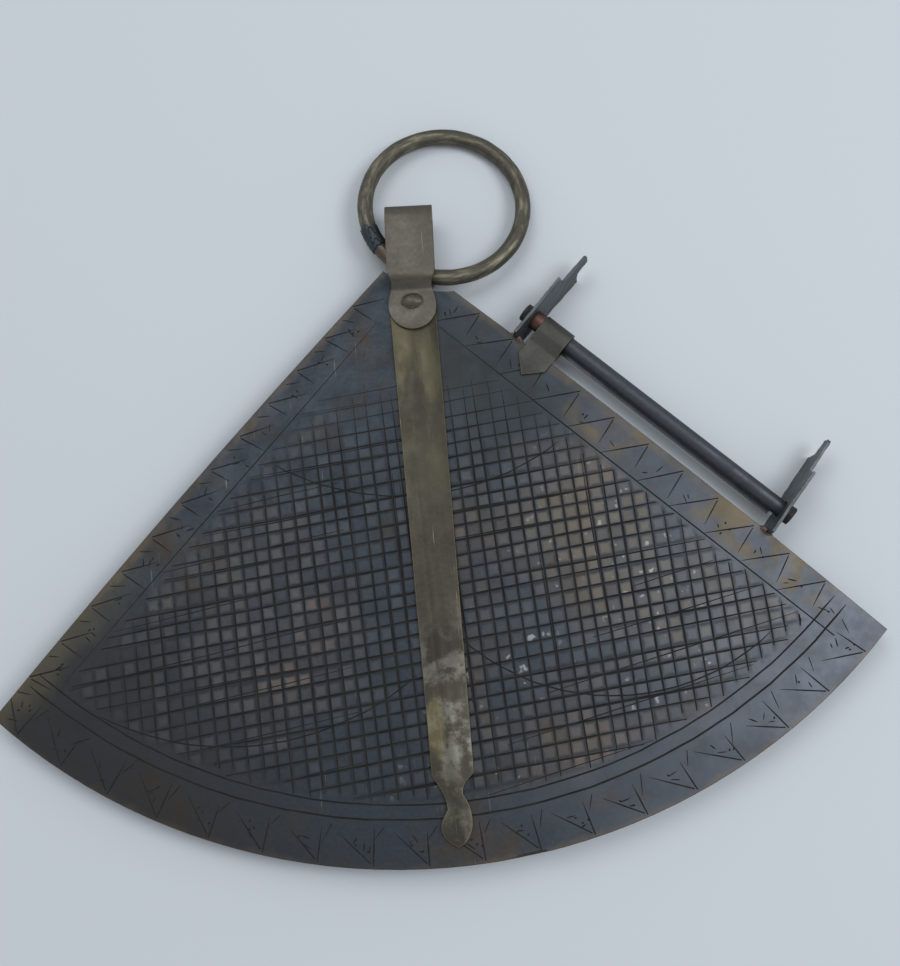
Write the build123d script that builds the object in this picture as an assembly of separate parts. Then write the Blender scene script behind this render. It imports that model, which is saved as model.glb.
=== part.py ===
from build123d import *

import math
import os

# A hand-made brass horary quadrant, lying face up. Lengths are in millimetres.
# While it is laid out, the virtual apex of the sector is at x = y = 0, the middle line of the sector
# runs towards -Y, the engraved face looks to +Z, and z = 0 is half way through the plate.

# Sector plate
sector_radius = 180.0
sector_angle = 90.0
plate_thickness = 2.0
edge_bow = 1.5  # how far each straight edge swells outwards half way along
nose_clearance = 2.1  # between the trimmed apex and the ring's wire

# Pivot
pivot_x = 2.0
pivot_depth = 16.6  # below the virtual apex
rivet_radius = 1.75
rivet_head_width = 7.3
rivet_head_length = 5.2
rivet_head_height = 1.6
rivet_tail_radius = 2.8
rivet_tail_height = 1.1
turning_gap = 0.05  # between stacked turning faces, and round the shank

# Index arm
arm_thickness = 1.0
arm_root_radius = 5.6
arm_width_top = 13.8
arm_width_end = 11.8
arm_straight = 138.5  # pivot to the shoulders of the leaf
arm_rest_angle = -0.6
leaf_length = 19.8
leaf_width = 8.6
waist_width = 4.6
waist_left = 9.4  # from the shoulders
waist_right = 5.6

# Shackle, one folded strip
strip_width = 14.4
strip_thickness = 1.0
pad_drop = 1.5  # the rounded ends are centred this far below the pivot
neck_width = 12.2
neck_height = 5.5
leg_bend = 3.3  # length of the bend between a flat leg and the eye
eye_half_gap = 4.6
shackle_height = 31.0
shackle_rest_angle = -2.9

# Ring
ring_radius = 24.4  # to the middle of the wire
wire_radius = 2.55
ring_height = 10.5  # where the wire crosses the shackle, above the pivot
ring_lean = 27.0  # from the shackle's middle line to the ring's centre
joint_swell = 0.25  # of the brazed joint over the wire
joint_start = 28.0  # degrees round the wire from the shackle
joint_sweep = 19.0

# Sights along the right-hand edge
tube_offset = 9.2  # from the edge's chord to the tube's middle
tube_radius = 2.5
tube_wall = 0.7
tube_start = 40.8
tube_end = 140.1
seam_width = 3.3  # from the tube's middle to the lap's free edge
seam_thickness = 0.6
seam_drop = 1.5
upper_vane_place = 44.3  # along the edge, middle of its thickness at the tube
lower_vane_place = 136.6
upper_toe_in = 1.0
lower_toe_in = 4.0
vane_tilt = 7.2  # each vane's lower edge leans towards the other vane
vane_thickness = 1.3
vane_height = 33.4  # from the plate's edge to the tip
front_shoulder = 20.8
rear_shoulder = 28.2
shoulder_half_width = 7.6
foot_half_width = 5.9
tang_half_width = 2.6
ferrule_radius = 3.0
collar_radius = 3.0
strap_place = 52.6
strap_width = 9.8
strap_thickness = 0.8
strap_tip = 7.3  # past the edge's chord, on to the plate
bead_length = 2.6
bead_reach = 1.3
bead_half_depth = 2.2

# Places that follow from these
half_angle = math.radians(sector_angle / 2)
half_plate = plate_thickness / 2
pivot = Vector(pivot_x, -pivot_depth, 0)
arm_bottom = half_plate + turning_gap
arm_top = arm_bottom + arm_thickness
front_leg_bottom = arm_top + turning_gap
front_leg_top = front_leg_bottom + strip_thickness
rear_leg_top = -half_plate - turning_gap
rear_leg_bottom = rear_leg_top - strip_thickness
eye_middle = (front_leg_bottom + rear_leg_top) / 2
shank_hole = rivet_radius + turning_gap
flat_length = max(rivet_tail_radius, rivet_head_length / 2) + 0.9
eye_start = flat_length + leg_bend


def on_edge(along, out, z=0.0):
    """The point at a distance along the right-hand edge's chord and out from it."""
    x = along * math.sin(half_angle) + out * math.cos(half_angle)
    y = -along * math.cos(half_angle) + out * math.sin(half_angle)
    return Vector(x, y, z)


def edge_frame(along):
    """A frame on the edge's chord: x along it, y out from the plate, z up."""
    return Location(on_edge(along, 0), (0, 0, sector_angle / 2 - 90))


def bow_at(along):
    """How far the bowed edge stands out from its chord."""
    share = along / sector_radius
    return 4 * edge_bow * share * (1 - share)


def sector_outline():
    """The sector with its two bowed edges and its curved limb."""
    left = Vector(-sector_radius * math.sin(half_angle), -sector_radius * math.cos(half_angle))
    right = Vector(-left.X, left.Y)
    mid_right = on_edge(sector_radius / 2, edge_bow)
    mid_left = Vector(-mid_right.X, mid_right.Y)
    apex = Vector(0, 0)
    return make_face(
        [
            ThreePointArc(apex, mid_left, left),
            ThreePointArc(left, (0, -sector_radius), right),
            ThreePointArc(right, mid_right, apex),
        ]
    )


def sector_plate():
    plate = extrude(sector_outline(), half_plate, both=True)
    nose_radius = ring_radius + wire_radius + nose_clearance
    apex_waste = ring_seat() * Location((0, ring_radius, 0)) * Cylinder(nose_radius, 2 * plate_thickness)
    return plate - apex_waste - Location(pivot) * Cylinder(rivet_radius, 2 * plate_thickness)


def pivot_rivet():
    """A shank through the whole stack, with an oval hammered head and a round tail."""
    head_bottom = front_leg_top + turning_gap
    tail_top = rear_leg_bottom - turning_gap
    length = head_bottom - tail_top
    shank = Location((0, 0, tail_top + length / 2)) * Cylinder(rivet_radius, length)
    head = dome(rivet_head_width / 2, rivet_head_height)
    head = scale(head, (1, rivet_head_length / rivet_head_width, 1))
    tail = Rot(180, 0, 0) * dome(rivet_tail_radius, rivet_tail_height)
    return Location(pivot) * (shank + Location((0, 0, head_bottom)) * head + Location((0, 0, tail_top)) * tail)


def dome(radius, height):
    """A low spherical cap that stands on z = 0."""
    ball_radius = (radius**2 + height**2) / (2 * height)
    ball = Location((0, 0, height - ball_radius)) * Sphere(ball_radius)
    block = Box(2 * radius, 2 * radius, height, align=(Align.CENTER, Align.CENTER, Align.MIN))
    return ball & block


def index_arm():
    """The tapered strip with its hand-filed waist and leaf; it points to -Y from the pivot."""
    top, end = arm_width_top / 2, arm_width_end / 2
    half_waist, half_leaf = waist_width / 2, leaf_width / 2
    shoulder_y = -arm_straight
    tip = (0, shoulder_y - leaf_length)
    widest = shoulder_y - 0.66 * leaf_length
    left_waist = (-half_waist, shoulder_y - waist_left)
    right_waist = (half_waist, shoulder_y - waist_right)
    outline = [
        Line((-top, 0), (-end, shoulder_y)),
        Spline((-end, shoulder_y), left_waist, tangents=[(0.5, -1), (0, -1)]),
        Spline(left_waist, (-half_leaf, widest), tip, tangents=[(-0.6, -1), (1, -0.45)]),
        Spline(tip, (half_leaf, widest + 1.5), right_waist, tangents=[(1, 0.45), (-0.6, 1)]),
        Spline(right_waist, (end, shoulder_y), tangents=[(0, 1), (0.7, 0.7)]),
        Line((end, shoulder_y), (top, 0)),
        Line((top, 0), (-top, 0)),
    ]
    blade = extrude(make_face(outline), arm_thickness)
    root = Cylinder(arm_root_radius, arm_thickness, align=(Align.CENTER, Align.CENTER, Align.MIN))
    hole = Cylinder(shank_hole, 4 * arm_thickness)
    arm = blade + root - hole
    return Location(pivot + Vector(0, 0, arm_bottom), (0, 0, arm_rest_angle)) * arm


def shackle():
    """One strip folded into two legs with an eye above the neck."""
    centre = strip_thickness / 2
    front, rear = front_leg_bottom + centre, rear_leg_top - centre
    eye_front, eye_rear = eye_middle + eye_half_gap + centre, eye_middle - eye_half_gap - centre
    low = -pad_drop - strip_width / 2
    top = shackle_height - centre
    bend = eye_half_gap + centre - 0.1
    fold = FilletPolyline(
        (low, front),
        (flat_length, front),
        (eye_start, eye_front),
        (top, eye_front),
        (top, eye_rear),
        (eye_start, eye_rear),
        (flat_length, rear),
        (low, rear),
        radius=[2.0, 2.0, bend, bend, 2.0, 2.0],
    )
    side = Plane.YZ * trace(fold, line_width=strip_thickness)
    folded = extrude(side, strip_width, both=True)
    half, neck = strip_width / 2, neck_width / 2
    open_height = neck_height + 4
    right_side = Spline(
        (half, -pad_drop), (neck, neck_height), (half, open_height), tangents=[(0, 1), (0, 1)]
    )
    left_side = mirror(right_side, Plane.YZ)
    plan = make_face(
        [
            ThreePointArc((-half, -pad_drop), (0, low), (half, -pad_drop)),
            right_side,
            Polyline((half, open_height), (half, 2 * top), (-half, 2 * top), (-half, open_height)),
            left_side,
        ]
    )
    hole = Cylinder(shank_hole, 4 * eye_half_gap)
    return shackle_frame() * ((folded & extrude(plan, 4 * eye_half_gap, both=True)) - hole)


def shackle_frame():
    return Location(pivot, (0, 0, shackle_rest_angle))


def ring_seat():
    """x along the wire where it crosses the shackle, y to the centre of the ring while it lies level."""
    return shackle_frame() * Location((0, ring_height, eye_middle), (0, 0, -ring_lean))


def ring_frame(floor):
    """The same, drooping until the ring's far side meets the floor."""
    droop = math.degrees(math.asin((eye_middle - wire_radius - floor) / (2 * ring_radius)))
    return ring_seat() * Rot(-droop, 0, 0)


def ring(floor):
    return ring_frame(floor) * Location((0, ring_radius, 0)) * Torus(ring_radius, wire_radius)


def ring_joint(floor):
    """The swollen brazed scarf where the wire's two ends meet."""
    middle = Plane(origin=(0, -ring_radius, 0), x_dir=(0, 1, 0), z_dir=(1, 0, 0))
    section = middle * (Circle(wire_radius + joint_swell) - Circle(wire_radius))
    swollen = revolve(section, Axis.Z, -joint_sweep)
    return ring_frame(floor) * Location((0, ring_radius, 0), (0, 0, -joint_start)) * swollen


def tube_frame(along=0.0):
    """x along the sighting tube, y out from the plate, z up."""
    return edge_frame(along) * Location((0, tube_offset, 0))


def tube_piece(start, end, radius):
    """A round bar on the tube's axis between two distances along the edge."""
    length = end - start
    return tube_frame(start) * Location((length / 2, 0, 0), (0, 90, 0)) * Cylinder(radius, length)


def sight_tube():
    """A rolled tube with its lapped seam on the side towards the plate."""
    bore = tube_piece(tube_start - 1, tube_end + 1, tube_radius - tube_wall)
    seam_start = strap_place + strap_width / 2
    seam_length = lower_vane_place - 2 * vane_thickness - seam_start
    lap = Box(seam_length, seam_width, seam_thickness, align=(Align.MIN, Align.MAX, Align.CENTER))
    lap = tube_frame(seam_start) * Location((0, 0, -seam_drop)) * lap
    return tube_piece(tube_start, tube_end, tube_radius) + lap - bore


def vane(place, side, toe_in, plate):
    """A sighting vane, uneven as it was filed: a foot, one shoulder higher than the other, a narrow tang."""
    foot = bow_at(place) - tube_offset
    front, rear, tip = foot + front_shoulder, foot + rear_shoulder, foot + vane_height
    outline = [
        (foot - 0.6, foot_half_width),
        (0, foot_half_width + 0.3),
        (front, shoulder_half_width),
        (front + 0.8, tang_half_width),
        (tip - 0.8, tang_half_width - 0.4),
        (tip, tang_half_width - 1.2),
        (tip, 0.8 - tang_half_width),
        (rear + 0.3, -tang_half_width),
        (rear, -shoulder_half_width),
        (foot + rear_shoulder / 2, -shoulder_half_width),
        (0, -foot_half_width - 0.3),
        (foot - 0.6, -foot_half_width),
    ]
    blank = Plane.YZ * make_face(Polyline(*outline, close=True))
    blade = extrude(blank, vane_thickness / 2, both=True)
    leaning = tube_frame(place) * Rot(0, 0, side * toe_in) * Rot(0, side * vane_tilt, 0)
    return leaning * blade - plate - tube_piece(tube_start, tube_end, tube_radius)


def ferrule(start, end, vane_solid):
    """The burr on the tube's end, seated on the vane's outer face."""
    sleeve = tube_piece(start, end, ferrule_radius) - tube_piece(start - 1, end + 1, tube_radius)
    return sleeve - vane_solid


def foot_braze(place, plate, vane_solid):
    """Braze drawn round a vane's foot on both sides of it."""
    bead = scale(Sphere(1), (bead_length, bead_reach, bead_half_depth))
    return edge_frame(place) * Location((0, bow_at(place), 0)) * bead - plate - vane_solid


def tube_strap(plate, tube):
    """One strip folded round the tube, with a pointed end on each face of the plate."""
    centre = strap_thickness / 2
    leg, wrap = half_plate + centre, tube_radius + centre
    tip, knee, crest = -strap_tip - tube_offset, 3.0 - tube_offset, -tube_radius
    fold = FilletPolyline(
        (tip, leg),
        (knee, leg),
        (crest, wrap),
        (wrap, wrap),
        (wrap, -wrap),
        (crest, -wrap),
        (knee, -leg),
        (tip, -leg),
        radius=[2.0, 2.0, wrap - 0.05, wrap - 0.05, 2.0, 2.0],
    )
    side = Plane.YZ * trace(fold, line_width=strap_thickness)
    folded = extrude(side, strap_width, both=True)
    half = strap_width / 2
    plan = make_face(Polyline((0, tip), (half, tip + half), (half, 2 * wrap), (-half, 2 * wrap), (-half, tip + half), close=True))
    return tube_frame(strap_place) * (folded & extrude(plan, 2 * wrap, both=True)) - plate - tube


def build():
    plate = sector_plate()
    tube = sight_tube()
    upper_vane = vane(upper_vane_place, -1, upper_toe_in, plate)
    lower_vane = vane(lower_vane_place, 1, lower_toe_in, plate)
    strap = tube_strap(plate, tube)
    collar_end = strap_place - strap_width / 2
    collar = tube_piece(upper_vane_place, collar_end, collar_radius) - tube_piece(0, collar_end + 1, tube_radius)
    floor = min(upper_vane.bounding_box().min.Z, lower_vane.bounding_box().min.Z)
    parts = {
        "sector_plate": plate,
        "pivot_rivet": pivot_rivet(),
        "alidade": index_arm(),
        "shackle": shackle(),
        "ring": ring(floor),
        "ring_joint": ring_joint(floor),
        "sight_tube": tube,
        "upper_vane": upper_vane,
        "lower_vane": lower_vane,
        "upper_ferrule": ferrule(tube_start, upper_vane_place, upper_vane),
        "lower_ferrule": ferrule(lower_vane_place, tube_end, lower_vane),
        "copper_collar": collar - upper_vane,
        "tube_strap": strap,
        "upper_foot_braze": foot_braze(upper_vane_place, plate, upper_vane),
        "lower_foot_braze": foot_braze(lower_vane_place, plate, lower_vane),
    }
    return parts, floor


parts, floor = build()
box = Compound(children=[Compound(part.solids()) for part in parts.values()]).bounding_box()
to_origin = Location((-box.center().X, -box.center().Y, -box.min.Z))
os.makedirs("parts", exist_ok=True)
for name, part in parts.items():
    solids = part.solids()
    placed = [to_origin * solid for solid in solids]
    export_step(placed[0] if len(placed) == 1 else Compound(placed), f"parts/{name}.step")
    print(name, len(solids), "solids", round(sum(solid.volume for solid in solids), 2), "mm3")

print("size", box.size)
print("pivot", (to_origin * Location(pivot)).position)
wire = Plane(to_origin * ring_frame(floor))
print("ring crossing", wire.origin, "along", wire.x_dir)
print("tube middle", (to_origin * tube_frame((tube_start + tube_end) / 2)).position)
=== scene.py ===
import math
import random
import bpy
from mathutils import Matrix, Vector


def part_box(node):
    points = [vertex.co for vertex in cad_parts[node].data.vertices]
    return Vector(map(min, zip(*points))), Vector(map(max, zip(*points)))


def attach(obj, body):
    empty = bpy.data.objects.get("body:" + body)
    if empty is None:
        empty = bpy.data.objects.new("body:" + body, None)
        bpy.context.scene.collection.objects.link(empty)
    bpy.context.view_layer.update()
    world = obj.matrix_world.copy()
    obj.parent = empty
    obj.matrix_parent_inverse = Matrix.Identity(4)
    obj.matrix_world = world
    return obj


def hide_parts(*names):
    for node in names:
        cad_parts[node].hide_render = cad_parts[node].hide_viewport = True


bl_info = {
    "name": "Engraved Brass Quadrant",
    "version": (1, 0, 0),
    "blender": (4, 5, 0),
    "location": "View3D > Sidebar > Quadrant",
    "description": "Cuts the engraving and lays the patina on a hand-made brass quadrant",
    "category": "Object",
}

import bpy
from bpy.props import FloatProperty, FloatVectorProperty, IntProperty, PointerProperty
from mathutils import Vector

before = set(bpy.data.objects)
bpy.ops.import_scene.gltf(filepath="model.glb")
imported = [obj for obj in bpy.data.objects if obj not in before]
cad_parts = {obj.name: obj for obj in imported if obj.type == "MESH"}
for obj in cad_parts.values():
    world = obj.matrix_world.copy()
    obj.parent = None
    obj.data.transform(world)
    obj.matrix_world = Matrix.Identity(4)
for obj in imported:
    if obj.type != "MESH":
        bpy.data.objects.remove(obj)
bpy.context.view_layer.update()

MM = 0.001
FACE, RIM, GROOVE = range(3)  # material slots of the engraved plate
PLATE_LOW, PLATE_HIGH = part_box("sector_plate")
RADIUS = (PLATE_HIGH[0] - PLATE_LOW[0]) / math.sqrt(2) / MM
APEX = Vector(((PLATE_HIGH[0] + PLATE_LOW[0]) / 2, PLATE_LOW[1] + RADIUS * MM, PLATE_HIGH[2]))

NODE_MERGE = 0.000002
GRAVER_MERGE = 0.000005
FIELD_STEP = 0.5  # millimetres between the points that are tried along a line of the field
FIELD_STEPS = 400
SHORTEST_LINE = 4
WAVER_SPAN = 22  # millimetres between the places where the hand wavers
FIELD_CENTRE = (0, -112)
FADE_FROM, FADE_OVER, FAINTEST = 34, 36, 0.45  # the field's lines are lighter near the apex
LEFT_DIVISION, RIGHT_DIVISION = 12.95, 12.75  # millimetres between the divisions of the bands
LIMB_DIVISION = 4.97  # degrees between the divisions of the limb
MARK_GAP = 0.9  # millimetres that the small marks keep from each other
BRASS_METALLIC = 0.75
BRASS_RELIEF = 0.00006
SKY_STRENGTH, SKY_IN_VIEW = 0.52, 0.48
CAMERA_PLACE = (5.98, -140.38, 344.05)  # millimetres from the apex
CAMERA_TURN = (11.104, 0.799, -5.63)
CAMERA_LENS, CAMERA_SENSOR = 44.72, 36

# Ground, drift and bloom of each brass; an edge has the rubbed colour as its bloom
TINTS = {
    "arm_brass": ((0.062, 0.056, 0.041, 1), (0.042, 0.038, 0.031, 1), (0.095, 0.080, 0.052, 1)),
    "arm_edge": ((0.150, 0.125, 0.072, 1), (0.085, 0.074, 0.052, 1)),
    "shackle_brass": ((0.110, 0.102, 0.082, 1), (0.085, 0.080, 0.066, 1), (0.150, 0.140, 0.095, 1)),
    "shackle_edge": ((0.110, 0.098, 0.062, 1), (0.085, 0.080, 0.066, 1)),
    "rivet_brass": ((0.100, 0.093, 0.070, 1), (0.055, 0.052, 0.044, 1), (0.30, 0.27, 0.18, 1)),
    "ring_brass": ((0.090, 0.084, 0.066, 1), (0.058, 0.055, 0.048, 1), (0.150, 0.135, 0.090, 1)),
    "tube_brass": ((0.066, 0.072, 0.084, 1), (0.050, 0.050, 0.056, 1), (0.095, 0.090, 0.085, 1)),
    "tube_seam": ((0.16, 0.155, 0.145, 1), (0.085, 0.083, 0.082, 1), (0.26, 0.24, 0.20, 1)),
    "vane_brass": ((0.098, 0.108, 0.116, 1), (0.066, 0.068, 0.070, 1), (0.190, 0.178, 0.130, 1)),
    "strap_brass": ((0.066, 0.066, 0.057, 1), (0.044, 0.043, 0.038, 1), (0.110, 0.098, 0.062, 1)),
    "strap_edge": ((0.110, 0.092, 0.052, 1), (0.070, 0.064, 0.050, 1), (0.34, 0.27, 0.13, 1)),
}
PLATE_BLOOM = (0.085, 0.066, 0.045, 1)
PLATE_GREY_PAINTED_LIGHT = (0.135, 0.148, 0.175, 1)
PLATE_CORNER_PAINTED_SHADE = (0.030, 0.028, 0.027, 1)
CELL_GOLD = (0.175, 0.150, 0.105, 1)
CELL_COPPER = (0.165, 0.118, 0.085, 1)
CELL_SILVER = (0.15, 0.155, 0.165, 1)
CELL_GLINT = (0.42, 0.43, 0.44, 1)
BAND_GOLD = (0.140, 0.112, 0.068, 1)
BAND_GREEN = (0.030, 0.037, 0.041, 1)
ARM_GOLD = (0.118, 0.102, 0.062, 1)
ARM_STAIN = (0.040, 0.032, 0.028, 1)
ARM_SHADE = (0.045, 0.040, 0.034, 1)
ARM_SILVER = (0.235, 0.225, 0.190, 1)
ARM_YELLOW = (0.240, 0.200, 0.090, 1)
WIRE_STREAK_AND_SHEEN = (0.235, 0.212, 0.145, 1)
WIRE_BLUE = (0.042, 0.052, 0.064, 1)
WIRE_COPPER = (0.120, 0.075, 0.060, 1)
GROOVE_DUST = (0.024, 0.023, 0.022, 1)
BURR_BLACK = (0.040, 0.042, 0.044, 1)
COLLAR_BROWN = (0.070, 0.046, 0.043, 1)
BRAZE_SHADE = (0.090, 0.072, 0.066, 1)
SKY = (0.93, 0.96, 1.0, 1)
LAMP_WHITE = (0.95, 0.98, 1.0)


def colour_property(name, description, default):
    return FloatVectorProperty(
        name=name, description=description, subtype="COLOR", size=4, min=0, max=1, default=default
    )


def length_property(name, description, millimetres):
    return FloatProperty(
        name=name, description=description, default=millimetres * MM, min=0, unit="LENGTH", precision=5
    )


def angle_property(name, description, degrees):
    return FloatProperty(name=name, description=description, subtype="ANGLE", default=math.radians(degrees))


class QuadrantEngraving(bpy.types.PropertyGroup):
    """The sizes of the lines that are cut in the plate."""

    grid_pitch: length_property("Grid Pitch", "Distance between neighbouring lines of the field", 4.1)
    grid_line: length_property("Grid Line", "Width of a heavy line of the field", 0.74)
    band_line: length_property("Band Line", "Width of the border lines and the division strokes", 0.44)
    mark_line: length_property("Mark Line", "Width of the small strokes between the divisions", 0.46)
    left_band: length_property("Left Band", "Width of the band along the left edge", 8.8)
    right_band: length_property("Right Band", "Width of the band along the right edge", 11.0)
    inner_arc: length_property("Inner Arc", "Radius of the inner line of the limb", 162.8)
    outer_arc: length_property("Outer Arc", "Radius of the outer line of the limb", 166.8)
    row_slope: angle_property("Row Slope", "Angle of the field's rows", 5.2)
    column_lean: angle_property("Column Lean", "Lean of the field's columns", 2.0)
    hand: IntProperty(name="Hand", description="Seed of the engraver's wavering", default=7, min=0)


class QuadrantColours(bpy.types.PropertyGroup):
    """The colours of the brass, its patina and the copper."""

    slate: colour_property("Slate", "Blue-grey patina", (0.037, 0.045, 0.056, 1))
    umber: colour_property("Umber", "Brown patina", (0.058, 0.047, 0.038, 1))
    olive: colour_property("Olive", "Olive patina", (0.115, 0.102, 0.066, 1))
    bronze: colour_property("Bronze", "Worn brown-gold brass", (0.165, 0.120, 0.070, 1))
    bright: colour_property("Bright", "Rubbed brass on edges", (0.400, 0.370, 0.280, 1))
    soot: colour_property("Soot", "Black-brown of grooves and crevices", (0.012, 0.012, 0.013, 1))
    copper: colour_property("Copper", "Copper of the collar", (0.150, 0.070, 0.055, 1))
    braze: colour_property("Braze", "Pinkish braze at the joints", (0.200, 0.125, 0.105, 1))
    floor: colour_property("Floor", "Pale cloth under the quadrant", (0.575, 0.61, 0.645, 1))


class QuadrantWear(bpy.types.PropertyGroup):
    """How far the edges are rounded by handling."""

    plate_edge: length_property("Plate Edge", "Rounding of the plate's outline", 0.3)
    strip_edge: length_property("Strip Edge", "Rounding of the strips' edges", 0.22)


# Selecting and copying


def settings():
    scene = bpy.context.scene
    return scene.quadrant_engraving, scene.quadrant_colours, scene.quadrant_wear


def deselect():
    if bpy.context.object is not None and bpy.context.object.mode != "OBJECT":
        bpy.ops.object.mode_set(mode="OBJECT")
    bpy.ops.object.select_all(action="DESELECT")


def activate(piece):
    deselect()
    piece.select_set(True)
    bpy.context.view_layer.objects.active = piece


def copy_node(node, name, *materials):
    """A closed, merged copy of a CAD node's mesh in its new materials, ready to be worked on."""
    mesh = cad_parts[node].data.copy()
    mesh.name = name
    mesh.materials.clear()
    for material in materials:
        mesh.materials.append(material)
    piece = bpy.data.objects.new(name, mesh)
    bpy.context.scene.collection.objects.link(piece)
    activate(piece)
    if mesh.has_custom_normals:
        bpy.ops.mesh.customdata_custom_splitnormals_clear()
    bpy.ops.object.mode_set(mode="EDIT")
    bpy.ops.mesh.select_all(action="SELECT")
    bpy.ops.mesh.remove_doubles(threshold=NODE_MERGE)
    bpy.ops.mesh.dissolve_limited(angle_limit=math.radians(0.4))
    bpy.ops.mesh.normals_make_consistent(inside=False)
    bpy.ops.object.mode_set(mode="OBJECT")
    return piece


def wear_edges(piece, width, segments=2, sharpness=35, smooth=40):
    """Rounds the sharp edges and gives the rounding the piece's second material."""
    activate(piece)
    bpy.ops.object.mode_set(mode="EDIT")
    bpy.ops.mesh.select_mode(type="EDGE")
    bpy.ops.mesh.select_all(action="DESELECT")
    bpy.ops.mesh.edges_select_sharp(sharpness=math.radians(sharpness))
    bpy.ops.mesh.bevel(
        offset=width,
        offset_type="OFFSET",
        segments=segments,
        affect="EDGES",
        clamp_overlap=True,
        material=RIM,
    )
    bpy.ops.object.mode_set(mode="OBJECT")
    bpy.ops.object.shade_smooth_by_angle(angle=math.radians(smooth))


def weather(piece, cell, depth, grain):
    """Softens a filed or molten piece: even small faces, pushed in by up to the depth in a lumpy pattern."""
    activate(piece)
    remesh = piece.modifiers.new("even_faces", "REMESH")
    remesh.mode = "VOXEL"
    remesh.voxel_size = cell
    bpy.ops.object.modifier_apply(modifier=remesh.name)
    lumps = bpy.data.textures.new("lumps", "CLOUDS")
    lumps.noise_scale = grain
    lumps.noise_depth = 3
    displace = piece.modifiers.new("file_marks", "DISPLACE")
    displace.texture = lumps
    displace.texture_coords = "LOCAL"
    displace.strength = depth
    displace.mid_level = 1
    bpy.ops.object.modifier_apply(modifier=displace.name)
    smooth = piece.modifiers.new("wear", "SMOOTH")
    smooth.iterations = 2
    bpy.ops.object.modifier_apply(modifier=smooth.name)
    bpy.data.textures.remove(lumps)
    bpy.ops.object.shade_smooth()


def finish_piece(piece, body, node):
    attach(piece, body)
    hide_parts(node)


# Engraving


def on_plate(x, y):
    """A point of the engraved face, from millimetres right of and above the virtual apex."""
    return APEX + Vector((x * MM, y * MM, 0))


def polar(radius, angle):
    """A point at a radius from the apex and an angle from the plate's middle line, in degrees."""
    return Vector((radius * math.sin(math.radians(angle)), -radius * math.cos(math.radians(angle))))


def stroke(start, direction, length, steps=2):
    """Points of a straight stroke; the direction is in degrees from the plate's x axis."""
    step = Vector((math.cos(math.radians(direction)), math.sin(math.radians(direction)))) * length / steps
    return [start + step * i for i in range(steps + 1)]


def cut(plate, strokes, width, name, slot=GROOVE):
    """Cuts V grooves along the strokes; each stroke is a list of points and their weights."""
    curve = bpy.data.curves.new(name, "CURVE")
    curve.dimensions = "3D"
    curve.bevel_depth = width / 2
    curve.bevel_resolution = 0
    curve.use_fill_caps = True
    for points, weights in strokes:
        spline = curve.splines.new("POLY")
        spline.points.add(len(points) - 1)
        for place, point, weight in zip(spline.points, points, weights):
            place.co = (*on_plate(*point), 1)
            place.radius = weight
    graver = bpy.data.objects.new(name, curve)
    bpy.context.scene.collection.objects.link(graver)
    activate(graver)
    bpy.ops.object.convert(target="MESH")
    bpy.ops.object.mode_set(mode="EDIT")
    bpy.ops.mesh.select_all(action="SELECT")
    bpy.ops.mesh.remove_doubles(threshold=GRAVER_MERGE)
    bpy.ops.mesh.normals_make_consistent(inside=False)
    bpy.ops.object.mode_set(mode="OBJECT")
    for material in plate.data.materials:
        graver.data.materials.append(material)
    graver.data.polygons.foreach_set("material_index", [slot] * len(graver.data.polygons))
    activate(plate)
    boolean = plate.modifiers.new(name, "BOOLEAN")
    boolean.operation = "DIFFERENCE"
    boolean.solver = "MANIFOLD"
    boolean.object = graver
    bpy.ops.object.modifier_apply(modifier=boolean.name)
    mesh = graver.data
    bpy.data.objects.remove(graver)
    bpy.data.meshes.remove(mesh)


def tapered(points, weight=1.0, start=0.35, end=0.35):
    """A stroke with its weights, lighter where the graver enters and leaves."""
    weights = [weight] * len(points)
    weights[0] *= start
    weights[-1] *= end
    return points, weights


class Field:
    """The part of the plate inside the bands and the limb."""

    def __init__(self, engraving):
        self.left = engraving.left_band / MM
        self.right = engraving.right_band / MM
        self.arc = engraving.inner_arc / MM

    def room(self, point):
        """Distances to the left band, the right band and the limb."""
        return (
            (point.x - point.y) / math.sqrt(2) - self.left,
            (-point.x - point.y) / math.sqrt(2) - self.right,
            self.arc - point.length,
        )


def field_line(field, hand, origin, direction, margins, top, waver, region=None):
    """One hand-drawn line of the grid, stopped at the field's edges."""
    inside = []
    for step in range(-FIELD_STEPS, FIELD_STEPS + 1):
        along = step * FIELD_STEP
        point = origin + direction * along
        clear = all(r > m for r, m in zip(field.room(point), margins))
        if clear and point.y < top and (region is None or region(point)):
            inside.append(along)
    if len(inside) * FIELD_STEP < SHORTEST_LINE:
        return None
    start, end = inside[0], inside[-1]
    count = max(2, round((end - start) / WAVER_SPAN))
    side = Vector((-direction.y, direction.x))
    points = []
    for i in range(count + 1):
        along = start + (end - start) * i / count
        points.append(origin + direction * along + side * hand.uniform(-waver, waver))
    return points


def grid_strokes(field, hand, pitch, angle, spread, margins, top, region=None):
    """A family of nearly parallel strokes across the field."""
    main = Vector((math.cos(angle), math.sin(angle)))
    side = Vector((-main.y, main.x))
    middle = Vector(FIELD_CENTRE).project(main)
    strokes = []
    for row in range(spread[0], spread[1]):
        turned = angle + math.radians(hand.uniform(-0.5, 0.5))
        direction = Vector((math.cos(turned), math.sin(turned)))
        origin = middle + side * (pitch * row + hand.uniform(-0.4, 0.4))
        loose = [m + hand.uniform(0, s) for m, s in margins]
        points = field_line(field, hand, origin, direction, loose, top + hand.uniform(-4, 0), 0.2, region)
        if points is None:
            continue
        weights = []
        for point in points:
            near_apex = min(1.0, max(FAINTEST, (-point.y - FADE_FROM) / FADE_OVER))
            weights.append(near_apex * hand.uniform(0.62, 1.05))
        weights[0] *= 0.5
        weights[-1] *= 0.5
        strokes.append((points, weights))
    return strokes


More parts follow.
